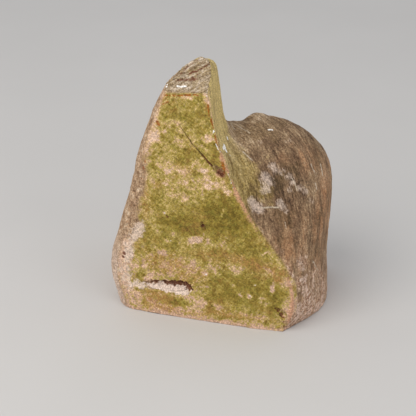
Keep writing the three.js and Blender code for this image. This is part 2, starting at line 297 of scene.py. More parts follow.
        (-191, 0, 182, 1.4, 0.7), (-125, 0, 84, 1.3, 0.7), (-124, 0, 382, 1.4, 0.7),
        (-103, 0, 296, 1.1, 0.7), (-182, 0, 135, 1.0, 0.6), (-84, 0, 239, 1.3, 0.7),
        (-86, 0, 247, 1.1, 0.6), (-70, 0, 58, 1.4, 0.7), (-54, 0, 57, 1.3, 0.6), (-168, 0, 241, 1.0, 0.5),
        (-46, 0, 77, 1.2, 0.6), (-109, 25, 285, 1.4, 0.8), (-100, 20, 276, 1.2, 0.6),
    ],
    # short white scars: half width, strength, places across, in, up
    "scars": [
        (1.0, 1.0, [(-173, 12, 389), (-169, 12, 389)]), (1.3, 1.0, [(-166, 12, 389), (-160, 12, 390)]),
        (1.2, 1.0, [(-55, 104, 294), (-49, 106, 294)]),
        (2.6, 1.0, [(-103, 18, 294), (-104, 31, 293), (-101, 26, 286)]),
        (2.0, 1.0, [(-107, 56, 292), (-108, 63, 293)]), (1.3, 0.8, [(-97, 30, 279), (-93, 30, 272)]),
        (0.8, 0.8, [(-113, 0, 330), (-114, 0, 325)]), (0.8, 0.7, [(-110, 0, 308), (-106, 0, 299)]),
        (0.8, 0.6, [(-91, 0, 262), (-86, 0, 250)]),
    ],
    "holes": [
        (-166, 25, 405, 1.3, 1), (-153, 24, 400, 1.3, 1), (-166, 21, 396, 1.2, 0.8),
        (-147, 29, 404, 1.3, 0.8), (-131, 3, 167, 2.6, 1), (-131, 1, 173, 2.0, 0.9),
        (-127, 1, 163, 1.9, 0.8), (-187, 0, 176, 2.0, 0.8), (-260, 0, 101, 2.8, 0.9),
        (-262, 0, 94, 2.4, 0.8), (-9, 4, 37, 3.2, 0.9), (-4, 3, 30, 3.2, 1), (0, 2, 26, 2.6, 0.9),
        (-13, 1, 40, 2.0, 0.7), (-9, 5, 15, 1.8, 1), (-8, 3, 9, 1.6, 0.9), (1, 1, 18, 1.8, 1),
        (1, 1, 10, 1.6, 0.9), (-106, 5, 260, 2.2, 0.9), (-101, 4, 257, 2.6, 1), (-113, 2, 266, 1.8, 0.9),
    ],
    "lichen": [
        (-44, 42, 242, 7, 1.0), (-39, 40, 236, 8, 1.0), (-40, 34, 229, 7, 0.95), (-45, 29, 224, 4, 0.6),
        (-56, 16, 212, 7, 0.9), (-50, 15, 206, 8, 1.0), (-45, 15, 200, 6, 0.9), (-17, 31, 208, 5, 0.8),
        (-12, 30, 203, 5, 0.75), (-7, 29, 197, 4, 0.6), (-36, 57, 256, 6, 0.8), (-30, 55, 252, 6, 0.7),
        (-20, 56, 249, 5, 0.55), (-11, 54, 244, 5, 0.6), (-3, 51, 236, 5, 0.6), (8, 52, 227, 5, 0.5),
        (16, 54, 221, 5, 0.5), (-5, 44, 226, 5, 0.4), (18, 18, 119, 6, 0.4), (-44, 23, 213, 4, 0.3),
        (22, 60, 205, 6, 0.4), (30, 80, 240, 6, 0.35), (-20, 95, 285, 6, 0.3), (-62, 80, 284, 5, 0.3),
    ],
    # pale worn places at the foot of the flank
    "worn": [
        (25, 25, 84, 7, 0.7), (28, 29, 64, 8, 0.8), (22, 17, 38, 8, 0.8), (36, 54, 62, 6, 0.5),
        (23, 23, 106, 6, 0.5), (18, 18, 18, 8, 0.9), (31, 46, 15, 9, 0.8), (35, 47, 37, 6, 0.5),
        (40, 72, 8, 9, 0.9), (44, 87, 12, 9, 0.8), (45, 120, 8, 8, 0.6), (44, 155, 10, 8, 0.5),
        (12, 4, 90, 5, 0.5), (26, 36, 6, 7, 0.8), (43, 100, 34, 6, 0.4),
    ],
    # how far the green film reaches into the stone: up, in
    "filmReach": [(190, -8), (209, 12), (227, 26), (258, 48), (286, 64), (300, 98), (322, 124), (340, 130)],
    "warmSpots": [(12, 92, 262, 22, 0.7), (4, 75, 256, 10, 0.5), (-25, 70, 262, 9, 0.4)],
    "darkSpots": [(-15, 40, 212, 46, 1.0), (-34, 64, 260, 34, 1.0)],
    # pale smear left of the groove, and chalky places beside the moss: the same numbers as the bare places
    "grooveSmear": [(-232, 48, 24, 8, 5, 1.0)],
    "leftChalk": [
        (-239, 140, 9, 24, -32, 1.0), (-252, 104, 9, 20, 0, 0.9), (-256, 60, 10, 26, 0, 0.7),
        (-268, 72, 8, 16, 0, 0.6),
    ],
    # reddish brown hollow at the end of the crack
    "hollow": [(-104, 2, 263, 6, 1), (-100, 3, 259, 5, 1), (-110, 1, 268, 4, 0.8), (-98, 2, 270, 4, 0.6)],
    "ledgeWay": (0.767, 0.488, 0.418),    # way the ledges of the broken top run
}


def across(p, line):
    return np.interp(p, [row[0] for row in line], [row[1] for row in line])


# distance to a line of places, and how far along it, from 0 to 1
def lineGap(points, line):
    line = np.array(line, float)
    best = np.full(len(points), 1e9)
    along = np.zeros(len(points))
    travelled = 0.0
    for a, b in zip(line[:-1], line[1:]):
        way = b - a
        length = np.linalg.norm(way)
        t = np.clip((points - a) @ way / length ** 2, 0, 1)
        gap = np.linalg.norm(points - a - t[:, None] * way, axis=1)
        nearer = gap < best
        best = np.where(nearer, gap, best)
        along = np.where(nearer, travelled + t * length, along)
        travelled += length
    return best, along / travelled


def ovalPatches(u, z, rows, wobble):
    mask = np.zeros(len(u))
    for cu, cz, ru, rz, turn, strength in rows:
        c, s = math.cos(math.radians(turn)), math.sin(math.radians(turn))
        x = ((u - cu) * c + (z - cz) * s) / ru
        y = ((z - cz) * c - (u - cu) * s) / rz
        mask = np.maximum(mask, strength * (1 - softStep(0.4, 1.55, np.hypot(x, y) + wobble)))
    return mask


def spots(p, rows, wobble, soft=0.45):
    mask = np.zeros(len(p))
    for cu, cd, cz, radius, strength in rows:
        gap = np.linalg.norm(p - (cu, cd, cz), axis=1) / radius
        mask = np.maximum(mask, strength * (1 - softStep(1 - soft, 1 + soft, gap + wobble)))
    return mask


def drawnLines(p, rows, wobble):
    mask = np.zeros(len(p))
    for width, strength, line in rows:
        gap, _ = lineGap(p, line)
        mask = np.maximum(mask, strength * (1 - softStep(0.5, 1.5, gap / width + wobble)))
    return mask


def faceOrigin():
    low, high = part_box("keystone")
    return np.array([high.x * 1000 - stone["cornerInset"], low.y * 1000, 0.0])


def readPoints(mesh):
    flat = np.empty(len(mesh.vertices) * 3)
    mesh.vertices.foreach_get("co", flat)
    return flat.reshape(-1, 3) * 1000 - faceOrigin()


def readNormals(mesh):
    flat = np.empty(len(mesh.vertices) * 3)
    mesh.vertices.foreach_get("normal", flat)
    return flat.reshape(-1, 3)


def writePoints(mesh, points):
    flat = ((points + faceOrigin()) / 1000).astype(np.float32)
    mesh.vertices.foreach_set("co", flat.ravel())
    mesh.update()


def neighbourMean(edges, values):
    total = np.zeros_like(values)
    count = np.zeros(len(values))
    np.add.at(total, edges[:, 0], values[edges[:, 1]])
    np.add.at(total, edges[:, 1], values[edges[:, 0]])
    np.add.at(count, edges[:, 0], 1)
    np.add.at(count, edges[:, 1], 1)
    return total / (count[:, None] if values.ndim == 2 else count)


def facetGap(p):
    return (p - stone["facetPoint"]) @ np.array(stone["facetNormal"])


def backGap(p):
    return (p[:, 1] - stone["backDepth"] + stone["backSlope"] * p[:, 2]) / math.hypot(1, stone["backSlope"])


def copyOfNode():
    block = bpy.data.objects.new("weatheredBlock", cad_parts["keystone"].data.copy())
    scene.collection.objects.link(block)
    block.data.materials.clear()
    makeActive(block)
    bpy.ops.object.mode_set(mode="EDIT")
    bpy.ops.mesh.select_all(action="SELECT")
    bpy.ops.mesh.remove_doubles(threshold=0.00002)
    bpy.ops.object.mode_set(mode="OBJECT")
    return block


def applyModifier(piece, kind, **settings):
    makeActive(piece)
    modifier = piece.modifiers.new(kind.title(), kind)
    for key, value in settings.items():
        setattr(modifier, key, value)
    bpy.ops.object.modifier_apply(modifier=modifier.name)


def softenFacets(block):
    applyModifier(block, "REMESH", mode="VOXEL", voxel_size=stone["voxel"] / 1000, adaptivity=0.0)
    p = readPoints(block.data)
    crisp = np.minimum.reduce([np.abs(p[:, 1]), np.abs(facetGap(p)), np.abs(backGap(p)), p[:, 2]])
    weight = stone["crispShare"] + (1 - stone["crispShare"]) * softStep(1.5, 13.0, crisp)
    group = block.vertex_groups.new(name="soften")
    steps, leastWeight = 10, 0.05
    for step in range(steps + 1):
        chosen = np.nonzero(np.round(weight * steps) == step)[0]
        if len(chosen):
            group.add(chosen.tolist(), step / steps if step else leastWeight, "REPLACE")
    applyModifier(block, "SMOOTH", factor=0.5, iterations=stone["smoothRounds"], vertex_group="soften")
    block.vertex_groups.clear()


def nearFeatures(p):
    u, d, z = p.T
    flat = np.stack([u, np.zeros(len(u)), z], 1)
    crack = [(a, 0, b) for a, b in stone["crack"]]
    near = (lineGap(flat, crack)[0] < 4.5) & (d < 6)
    top = across(u, stone["grooveTop"])
    low = across(u, stone["grooveFoot"])
    near |= (u > -240) & (u < -144) & (z < top + 4) & (z > low - 3) & (d < 14)
    for rows in (stone["shadowLines"], stone["rustLines"], stone["scratchLines"], stone["scars"]):
        for width, _, line in rows:
            near |= lineGap(p, line)[0] < width + 2.2
    for rows in (stone["chips"], stone["holes"]):
        for cu, cd, cz, radius, _ in rows:
            near |= np.linalg.norm(p - (cu, cd, cz), axis=1) < radius + 2.2
    return near


def refineFeatures(block):
    near = nearFeatures(readPoints(block.data))
    makeActive(block)
    bpy.ops.object.mode_set(mode="EDIT")
    bpy.ops.mesh.select_mode(type="VERT")
    bpy.ops.mesh.select_all(action="DESELECT")
    bpy.ops.object.mode_set(mode="OBJECT")
    block.data.vertices.foreach_set("select", near)
    bpy.ops.object.mode_set(mode="EDIT")
    bpy.ops.mesh.subdivide(number_cuts=1)
    bpy.ops.mesh.select_all(action="SELECT")
    bpy.ops.mesh.quads_convert_to_tris()
    bpy.ops.object.mode_set(mode="OBJECT")


def beddingSpace(p):
    turn = math.radians(stone["beddingAngle"])
    u, d, z = p.T
    return np.stack([u * math.cos(turn) + d * math.sin(turn), d * math.cos(turn) - u * math.sin(turn), z], 1)


def ledgeSpace(p, stretch):
    way = np.array(stone["ledgeWay"])
    return p - np.outer(p @ way, way) * (1 - 1 / stretch)


# soft share of each side of the stone at every corner of the mesh
def placesOn(p, n):
    u, d, z = p.T
    joint = softStep(0.80, 0.97, -n[:, 1]) * softStep(7, 3, d)
    facet = softStep(0.80, 0.95, n @ np.array(stone["facetNormal"])) * softStep(380, 386, z)
    riser = softStep(-0.2, -0.45, n[:, 1]) * softStep(0.0, 0.3, n[:, 0])
    riser *= softStep(12, 8, np.abs(facetGap(p)))
    facet = np.maximum(facet, riser * softStep(384, 388, z) * softStep(6, 10, d))
    foot = softStep(0.80, 0.97, -n[:, 2]) * (z < 4)
    back = softStep(0.85, 0.97, n[:, 1]) * (np.abs(backGap(p)) < 4)
    left = softStep(0.15, 0.65, -n[:, 0]) * softStep(-150, -175, u) * (1 - joint)
    fin = softStep(278, 300, z + 0.15 * d + 5 * softNoise(p, 15, 119))
    fin *= softStep(-90, -104, u) * (1 - joint) * (1 - facet) * (1 - left)
    fin *= softStep(0.62, 0.36, n[:, 2])
    flank = np.clip(1 - joint - facet - foot - back - left - fin, 0, 1)
    return joint, facet, foot, back, left, fin, flank


def arrisMask(p, n, edges):
    bulge = ((p - neighbourMean(edges, p)) * n).sum(1)
    for _ in range(stone["arrisRounds"]):
        bulge = neighbourMean(edges, bulge)
    return softStep(0.03, 0.11, bulge)


def grooveShape(p):
    u, d, z = p.T
    top = across(u, stone["grooveTop"]) + 1.2 * softNoise(p, 7, 91) + 1.7 * softNoise(p, 2.8, 92)
    low = across(u, stone["grooveFoot"]) + 1.5 * softNoise(p, 9, 93)
    ends = softStep(-238, -196, u) * softStep(-145, -150, u)
    inside = (z < top) & (z > low) & (d < 16) & (u > -240) & (u < -145)
    down = np.clip((top - z) / np.maximum(top - low, 1), 0, 1)
    return inside, down, ends


def crackShape(p, joint):
    u, _, z = p.T
    shaken = np.stack([u + 0.9 * softNoise(p, 9, 83), np.zeros(len(u)), z + 0.9 * softNoise(p, 9, 84)], 1)
    gap, share = lineGap(shaken, [(a, 0, b) for a, b in stone["crack"]])
    width = stone["crackWidth"] * (0.55 + 0.7 * share)
    return (1 - softStep(0.3, 1.3, gap / width)) * joint * softStep(0.0, 0.06, share), share


def sculpt(mesh):
    p = readPoints(mesh)
    n = readNormals(mesh)
    flat = np.empty(len(mesh.edges) * 2, dtype=np.int64)
    mesh.edges.foreach_get("vertices", flat)
    edges = flat.reshape(-1, 2)
    u, d, z = p.T
    bedding = beddingSpace(p)
    joint, facet, foot, back, left, fin, flank = placesOn(p, n)
    arris = arrisMask(p, n, edges)

    # swells, furrows and pits
    swell = roughNoise(p, 42, 11, 3)
    streaks = roughNoise(bedding, (5.0, 34, 30), 23, 2)
    broad = roughNoise(bedding, (16, 80, 70), 31, 2)
    grain = roughNoise(p, 5.5, 41, 2)
    pits = softStep(0.25, 0.75, softNoise(bedding, (4.2, 8, 8), 53))
    ledges = roughNoise(ledgeSpace(p, 8), 6.5, 61, 2)
    furrow = 0.3 - np.abs(streaks)
    move = joint * (stone["facePlay"] * swell + 0.22 * grain)
    side = stone["sidePlay"] * swell
    move += flank * (side + stone["flankPlay"] * broad * 0.6 + stone["streakDepth"] * furrow + 0.25 * grain)
    move += left * (side - stone["pitDepth"] * pits + 0.4 * broad + 0.3 * grain)
    move += fin * (side + 0.8 * broad + 0.4 * furrow + 0.2 * grain)
    move += facet * (0.8 * ledges + 0.5 * grain + 1.2 * np.round(2.0 * ledges) / 2.0)
    move += back * (side + 0.3 * grain)

    # bites out of the arrises, and a lump and a dent on the crown
    bite = softStep(0.0, 0.8, roughNoise(p, 13, 71, 2)) + 0.35 * softStep(-0.1, 0.7, softNoise(p, 5, 77))
    move -= stone["edgeBite"] * arris * bite * softStep(1, 5, z)
    lump, dent = spots(p, stone["crownLump"], 0, 0.9), spots(p, stone["crownDent"], 0, 0.9)
    move += stone["lumpHeight"] * lump - stone["dentDepth"] * dent
    move *= 1 - foot

    # drawn lines and holes are cut in, lichen and scratches are too thin to move
    holes = stone["holeDepth"] * spots(p, stone["holes"], 0) * (1 - foot)
    move -= stone["lineDepth"] * drawnLines(p, stone["shadowLines"], 0) + holes
    q = p + n * move[:, None]

    # foot of the joint face stands a little forward in the middle
    bow = softStep(-255, -200, u) * softStep(5, -50, u) * softStep(70, 8, z) * softStep(30, 4, d)
    q[:, 1] -= stone["footBow"] * bow * (1 - foot * softStep(4, 12, d))

    crack, share = crackShape(p, joint)
    q[:, 1] += stone["crackDepth"] * crack * (0.4 + 0.8 * share)

    # the groove is steep at its ragged top and slopes out at its foot
    inside, down, ends = grooveShape(p)
    slope = softStep(0.0, 0.14, down) * (1 - softStep(0.05, 1.0, down) ** 1.1)
    wanted = stone["grooveDepth"] * slope * ends + 0.5 * softNoise(p, 3.5, 95)
    q[:, 1] = np.where(inside, np.maximum(wanted, -stone["footBow"] * bow), q[:, 1])

    q[:, 2] = np.where(foot > 0.5, z, np.maximum(q[:, 2], 0.0))
    writePoints(mesh, q)
    paintMasks(mesh, p, n, arris)


# colour masks, one value at each corner of the mesh
def paintMasks(mesh, p, n, arris):
    u, d, z = p.T
    joint, facet, foot, back, left, fin, flank = placesOn(p, n)
    corner = softStep(-30, -8, u) * softStep(18, 38, z) * softStep(104, 82, z)
    face = softStep(0.5 - 0.25 * corner, 0.85 - 0.35 * corner, -n[:, 1])
    face *= softStep(4.5 + 7.5 * corner, 1.2 + 6.3 * corner, d)
    wobble = 0.30 * roughNoise(p, 9, 101, 2)
    mossIn = softStep(-7, 7, u - across(z, stone["mossLeft"]) + 4 * softNoise(p, 11, 103))
    mossUp = softStep(-7, 7, z - across(u, stone["mossFoot"]) + 5 * softNoise(p, 14, 105))
    bare = ovalPatches(u, z, stone["bare"], wobble)
    bare = np.maximum(bare, drawnLines(p, stone["paleLines"], wobble * 0.5))
    thick = ovalPatches(u, z, stone["thickMoss"], wobble * 0.6)
    thin = ovalPatches(u, z, stone["thinMoss"], wobble * 0.6)
    moss = 0.60 + 0.26 * thick * (1 - 0.8 * bare) - 0.10 * thin - 0.58 * bare
    moss += 0.09 * roughNoise(p, 24, 107, 3)
    moss -= 0.06 * softStep(90, 30, z) * (1 - thick)
    edgeMoss = 0.17 + 0.26 * softStep(60, 20, z) * (0.5 + 0.6 * softNoise(p, 12, 111))
    moss = edgeMoss + (moss - edgeMoss) * mossIn * mossUp
    moss -= 0.35 * softStep(0.15, 0.8, arris) * (0.6 + 0.5 * softNoise(p, 12, 109))

    # beside the moss the side's pitted crust comes round onto the face
    band = (1 - mossIn) * softStep(118, 146, z) * softStep(298, 250, z) * face
    face = face - band
    left = np.maximum(left, band)

    inside, down, ends = grooveShape(p)
    torn = down + 0.16 * softNoise(p, 3.2, 113) + 0.10 * softNoise(p, 7, 115)
    torn -= 0.06 + 0.30 * softStep(-163, -151, u)    # the roof comes down at the right end, and its painted shade with it
    groovePale = inside * softStep(0.26, 0.46, torn) * (0.45 + 0.55 * np.clip(ends * 1.2, 0, 1))
    groovePale *= softStep(1.04, 0.84, down + 0.12 * softNoise(p, 4, 133))
    groovePale = np.maximum(groovePale, 0.70 * ovalPatches(u, z, stone["grooveSmear"], wobble) * face)
    leftChalk = ovalPatches(u, z, stone["leftChalk"], wobble)
    crack, share = crackShape(p, joint)
    # painted shade: in the lower part of the crack, in the holes, under the groove's roof and along the drawn
    # shadow lines
    shadow = np.maximum(crack * softStep(0.5, 0.9, share) * 0.8, spots(p, stone["holes"], wobble * 1.2))
    dashes = softStep(-246, -196, u + 22 * softNoise(p, 5, 137))
    shadow = np.maximum(shadow, inside * softStep(0.48, 0.22, torn) * dashes)
    shadow = np.maximum(shadow, drawnLines(p, stone["shadowLines"], wobble * 0.8))

    # green film on the fin's side and beside the joint face, with a ragged border
    reach = across(z, stone["filmReach"]) + (13 + 8 * softStep(290, 330, z)) * roughNoise(p, 24, 117, 3)
    film = softStep(16, -16, d - reach) * softStep(-176, -138, u + 9 * roughNoise(p, 18, 139, 2))
    film *= np.clip(1 - joint - foot - facet, 0, 1) * (0.85 + 0.15 * fin)
    left = left * (1 - film)
    broken = softStep(10, 4, np.abs(facetGap(p)) + 3 * softNoise(p, 6, 129)) * softStep(390, 397, z)
    facet = np.maximum(facet, 0.9 * broken * softStep(0.0, 0.3, n[:, 0]))
    warm = np.maximum(softStep(0.72, 0.98, n[:, 0]) * softStep(300, 230, z), 0.7 * softStep(230, 120, z))
    warm *= 0.75 + 0.5 * roughNoise(p, 55, 125, 2)
    warm = np.maximum(warm, spots(p, stone["warmSpots"], wobble, 0.9))
    warm *= flank * softStep(0.80, 0.30, n[:, 1] + 0.25 * roughNoise(p, 20, 127, 2))
    # flank tone: lighter at the saddle behind the fin, painted light against the fin's shade; also lighter to
    # the right and towards the foot, and darker at the dark spots
    tone = 0.54 + 0.26 * softStep(255, 285, z) * softStep(-30, -80, u) + 0.10 * softStep(110, 40, z)
    paler = softStep(0, 30, u) * (0.10 + 0.06 * softStep(150, 90, z))
    tone += paler - 0.24 * spots(p, stone["darkSpots"], 0, 0.8)
    low = z + 24 * roughNoise(p, 62, 121, 2) + 8 * softNoise(p, 17, 123)
    footPale = 0.9 * softStep(118, 0, low) * (flank + 0.55 * back)
    footPale += flank * softStep(70, 10, d) * softStep(165, 90, z) * (0.35 + 0.75 * roughNoise(p, 16, 135, 2))
    arrisLine = arris * softStep(16, 6, d) * softStep(-125, -105, u) * softStep(6, 14, z) * (1 - facet)
    masks = {
        "face": face, "moss": moss, "film": film, "crust": flank, "warm": warm,
        "finPale": softStep(272, 312, z) * softStep(118, 84, d + 8 * softNoise(p, 20, 131)),
        "footPale": footPale,
        "leftSide": left, "leftPale": softStep(150, 20, low), "facet": facet,
        "lichen": spots(p, stone["lichen"], wobble, 0.95) * flank,
        "worn": spots(p, stone["worn"], wobble, 0.9) * flank,
        # the crack mask carries painted shade in the crack, stronger towards its lower end
        "hollow": spots(p, stone["hollow"], wobble), "crack": crack * (0.55 + 0.45 * share),
        "lowFace": softStep(190, 90, z), "arrisLine": arrisLine, "crustToneAndLight": tone,
        "stain": ovalPatches(u, z, stone["stains"], wobble * 0.6),
        "scratch": drawnLines(p, stone["scratchLines"], wobble * 0.5),
        "chips": np.maximum(spots(p, stone["chips"], wobble), drawnLines(p, stone["scars"], wobble)),
        "groovePale": groovePale, "leftChalk": leftChalk * softStep(0.1, 0.5, -n[:, 1]),
        "rust": drawnLines(p, stone["rustLines"], wobble * 0.9), "shadow": shadow,
        "arris": arris * softStep(392, 378, z),
    }
    for name, values in masks.items():
        layer = mesh.attributes.new(name, "FLOAT", "POINT")
        layer.data.foreach_set("value", np.clip(values, 0, 1).astype(np.float32))


class NodeMaker:
    def __init__(self, tree):
        self.tree = tree
        self.count = 0

    def add(self, kind, **settings):
        node = self.tree.nodes.new(kind)
        node.location = (self.count // 7 * 200, -(self.count % 7) * 170)
        self.count += 1
        for key, value in settings.items():
            setattr(node, key, value)
        return node

    def link(self, source, target):
        if hasattr(source, "is_output"):
            self.tree.links.new(source, target)
        else:
            target.default_value = source

    def math(self, operation, a, b, c=0.0):
        node = self.add("ShaderNodeMath", operation=operation)
        for value, socket in zip((a, b, c), node.inputs):
            self.link(value, socket)
        return node.outputs[0]

    def times(self, a, b):
        return self.math("MULTIPLY", a, b)

    def mix(self, factor, a, b, blend="MIX"):
        node = self.add("ShaderNodeMix", data_type="RGBA", blend_type=blend, clamp_factor=True)
        self.link(factor, node.inputs[0])
        self.link(a, node.inputs[6])
        self.link(b, node.inputs[7])
        return node.outputs[2]

    def attribute(self, name):
        return self.add("ShaderNodeAttribute", attribute_name=name).outputs["Fac"]

    def noise(self, vector, scale, detail, roughness=0.55):
        node = self.add("ShaderNodeTexNoise")
        self.link(vector, node.inputs["Vector"])
        node.inputs["Scale"].default_value = scale
        node.inputs["Detail"].default_value = detail
        node.inputs["Roughness"].default_value = roughness
        return node.outputs["Fac"]

    def step(self, value, low, high, toLow=0.0, toHigh=1.0):
        node = self.add("ShaderNodeMapRange", interpolation_type="SMOOTHSTEP")
        names = ("Value", "From Min", "From Max", "To Min", "To Max")
        for given, name in zip((value, low, high, toLow, toHigh), names):
            self.link(given, node.inputs[name])
        return node.outputs["Result"]

    def ramp(self, value, stops):
        node = self.add("ShaderNodeValToRGB")
        self.link(value, node.inputs["Fac"])
        while len(node.color_ramp.elements) < len(stops):
            node.color_ramp.elements.new(0.5)
        for element, (place, colour) in zip(node.color_ramp.elements, stops):
            element.position = place
            element.color = colour
        return node.outputs["Color"]

    def group(self, tree, **values):
        node = self.add("ShaderNodeGroup", node_tree=tree)
        for key, value in values.items():
            self.link(value, node.inputs[key])
        return node.outputs[0]


def newGroup(name, inputs, output):
    tree = bpy.data.node_groups.new(name, "ShaderNodeTree")
    for socketName, kind in inputs:
        tree.interface.new_socket(name=socketName, in_out="INPUT", socket_type=kind)
    tree.interface.new_socket(name=output[0], in_out="OUTPUT", socket_type=output[1])
    nodes = NodeMaker(tree)
    return tree, nodes, nodes.add("NodeGroupInput").outputs, nodes.add("NodeGroupOutput").inputs


def srgb(r, g, b):
    def linear(v):
        v /= 255.0
        return v / 12.92 if v <= 0.04045 else ((v + 0.055) / 1.055) ** 2.4
    return (linear(r), linear(g), linear(b), 1.0)


# a mask torn by noise, so that its edge is ragged
def tornMaskGroup():
    value = "NodeSocketFloat"
    tree, nodes, given, result = newGroup(
        "tornMask", [("Mask", value), ("Noise", value), ("Tear", value), ("Softness", value)],
        ("Mask", value))
    shake = nodes.math("SUBTRACT", given["Noise"], 0.5)
    shaken = nodes.math("MULTIPLY_ADD", shake, given["Tear"], given["Mask"])
    low = nodes.math("SUBTRACT", 0.5, given["Softness"])
    high = nodes.math("ADD", 0.5, given["Softness"])
    inside = nodes.step(given["Mask"], 0.0, 0.3)    # nothing shows where the mask is empty
    nodes.link(nodes.times(nodes.step(shaken, low, high), inside), result["Mask"])
    return tree


# noise whose scale, detail and roughness are inputs of the group
def noiseInside(nodes, given, vector, result):
    noise = nodes.add("ShaderNodeTexNoise")
    nodes.link(vector, noise.inputs["Vector"])
    for name in ("Scale", "Detail", "Roughness"):
        nodes.link(given[name], noise.inputs[name])
    nodes.link(noise.outputs["Fac"], result["Noise"])


noiseSockets = [("Scale", "NodeSocketFloat"), ("Detail", "NodeSocketFloat"), ("Roughness", "NodeSocketFloat")]


# noise turned to the bedding and drawn out along it
def beddingGroup():
    tree, nodes, given, result = newGroup(
        "beddingNoise", [("Vector", "NodeSocketVector"), ("Stretch", "NodeSocketFloat")] + noiseSockets,
        ("Noise", "NodeSocketFloat"))
    turn = nodes.add("ShaderNodeVectorRotate", rotation_type="Z_AXIS")
    nodes.link(given["Vector"], turn.inputs["Vector"])
    turn.inputs["Angle"].default_value = -math.radians(stone["beddingAngle"])
    split = nodes.add("ShaderNodeSeparateXYZ")
    nodes.link(turn.outputs["Vector"], split.inputs[0])
    join = nodes.add("ShaderNodeCombineXYZ")
    nodes.link(split.outputs["X"], join.inputs["X"])
    nodes.link(nodes.math("DIVIDE", split.outputs["Y"], given["Stretch"]), join.inputs["Y"])
    nodes.link(nodes.math("DIVIDE", split.outputs["Z"], given["Stretch"]), join.inputs["Z"])
    noiseInside(nodes, given, join.outputs[0], result)
    return tree


# noise drawn out one way
def drawnGroup():
    tree, nodes, given, result = newGroup(
        "drawnNoise",
        [("Vector", "NodeSocketVector"), ("Way", "NodeSocketVector"), ("Stretch", "NodeSocketFloat")]
        + noiseSockets,
        ("Noise", "NodeSocketFloat"))
    along = nodes.add("ShaderNodeVectorMath", operation="DOT_PRODUCT")
    nodes.link(given["Vector"], along.inputs[0])
    nodes.link(given["Way"], along.inputs[1])
    share = nodes.math("SUBTRACT", nodes.math("DIVIDE", 1.0, given["Stretch"]), 1.0)
    back = nodes.add("ShaderNodeVectorMath", operation="SCALE")
    nodes.link(given["Way"], back.inputs[0])
    nodes.link(nodes.times(along.outputs["Value"], share), back.inputs["Scale"])
    total = nodes.add("ShaderNodeVectorMath", operation="ADD")
    nodes.link(given["Vector"], total.inputs[0])
    nodes.link(back.outputs[0], total.inputs[1])
    noiseInside(nodes, given, total.outputs[0], result)
    return tree


# colour made lighter and darker by a fine noise
def grainGroup():
    tree, nodes, given, result = newGroup(
        "stoneGrain",
        [("Color", "NodeSocketColor"), ("Noise", "NodeSocketFloat"), ("Contrast", "NodeSocketFloat")],
        ("Color", "NodeSocketColor"))
    shade = nodes.math("MULTIPLY_ADD", nodes.math("SUBTRACT", given["Noise"], 0.5), given["Contrast"], 1.0)
    grey = nodes.add("ShaderNodeCombineColor")
    for socket in grey.inputs:
        nodes.link(shade, socket)
    nodes.link(nodes.mix(1.0, given["Color"], grey.outputs[0], "MULTIPLY"), result["Color"])
    return tree


finish = {
    "mossRamp": [
        (0.00, srgb(232, 198, 170)), (0.16, srgb(214, 176, 138)), (0.32, srgb(200, 168, 114)),
        (0.46, srgb(190, 166, 98)), (0.60, srgb(170, 147, 74)), (0.78, srgb(143, 121, 50)),
        (1.00, srgb(106, 88, 30)),
    ],
    "mossGreen": srgb(148, 142, 62),
    "mossBrown": srgb(176, 126, 76),
    "crustRamp": [
        (0.24, srgb(66, 49, 35)), (0.40, srgb(110, 85, 63)), (0.54, srgb(137, 111, 84)),
        (0.68, srgb(166, 139, 107)), (0.84, srgb(208, 184, 154)),
    ],
    "footRamp": [
        (0.20, srgb(112, 80, 60)), (0.42, srgb(168, 130, 104)), (0.58, srgb(200, 165, 139)),
        (0.80, srgb(238, 218, 200)),
    ],
    "filmRamp": [(0.26, srgb(110, 89, 42)), (0.50, srgb(158, 135, 76)), (0.80, srgb(202, 178, 122))],
    "finPale": srgb(220, 195, 124),
    "leftRamp": [
        (0.20, srgb(102, 76, 55)), (0.38, srgb(150, 119, 90)), (0.54, srgb(180, 148, 116)),
        (0.76, srgb(216, 190, 160)),
    ],
    "facetRamp": [
        (0.20, srgb(82, 62, 44)), (0.38, srgb(142, 120, 92)), (0.54, srgb(174, 154, 128)),
        (0.78, srgb(214, 198, 178)),
    ],
    "ochre": srgb(164, 137, 86),
    "olive": srgb(124, 104, 64),
    "tan": srgb(182, 128, 88),
    "footPink": srgb(204, 166, 140),
    "arrisPink": srgb(206, 152, 118),
    "palePink": srgb(222, 198, 178),
    "fleck": srgb(232, 208, 178),
    "lichen": srgb(208, 186, 168),
    "worn": srgb(226, 196, 176),
    "scratch": srgb(200, 184, 162),
    "groovePale": srgb(232, 208, 190),
    "chip": srgb(250, 246, 240),
    "rust": srgb(156, 86, 28),
    "hollow": srgb(146, 98, 76),
    # crack: painted shade inside the crack
    "crack": srgb(92, 74, 36),
    "shadow": srgb(112, 66, 44),
    "grain": 2.2,            # contrast of the finest grain
    "bumpHeight": 0.0017,
}


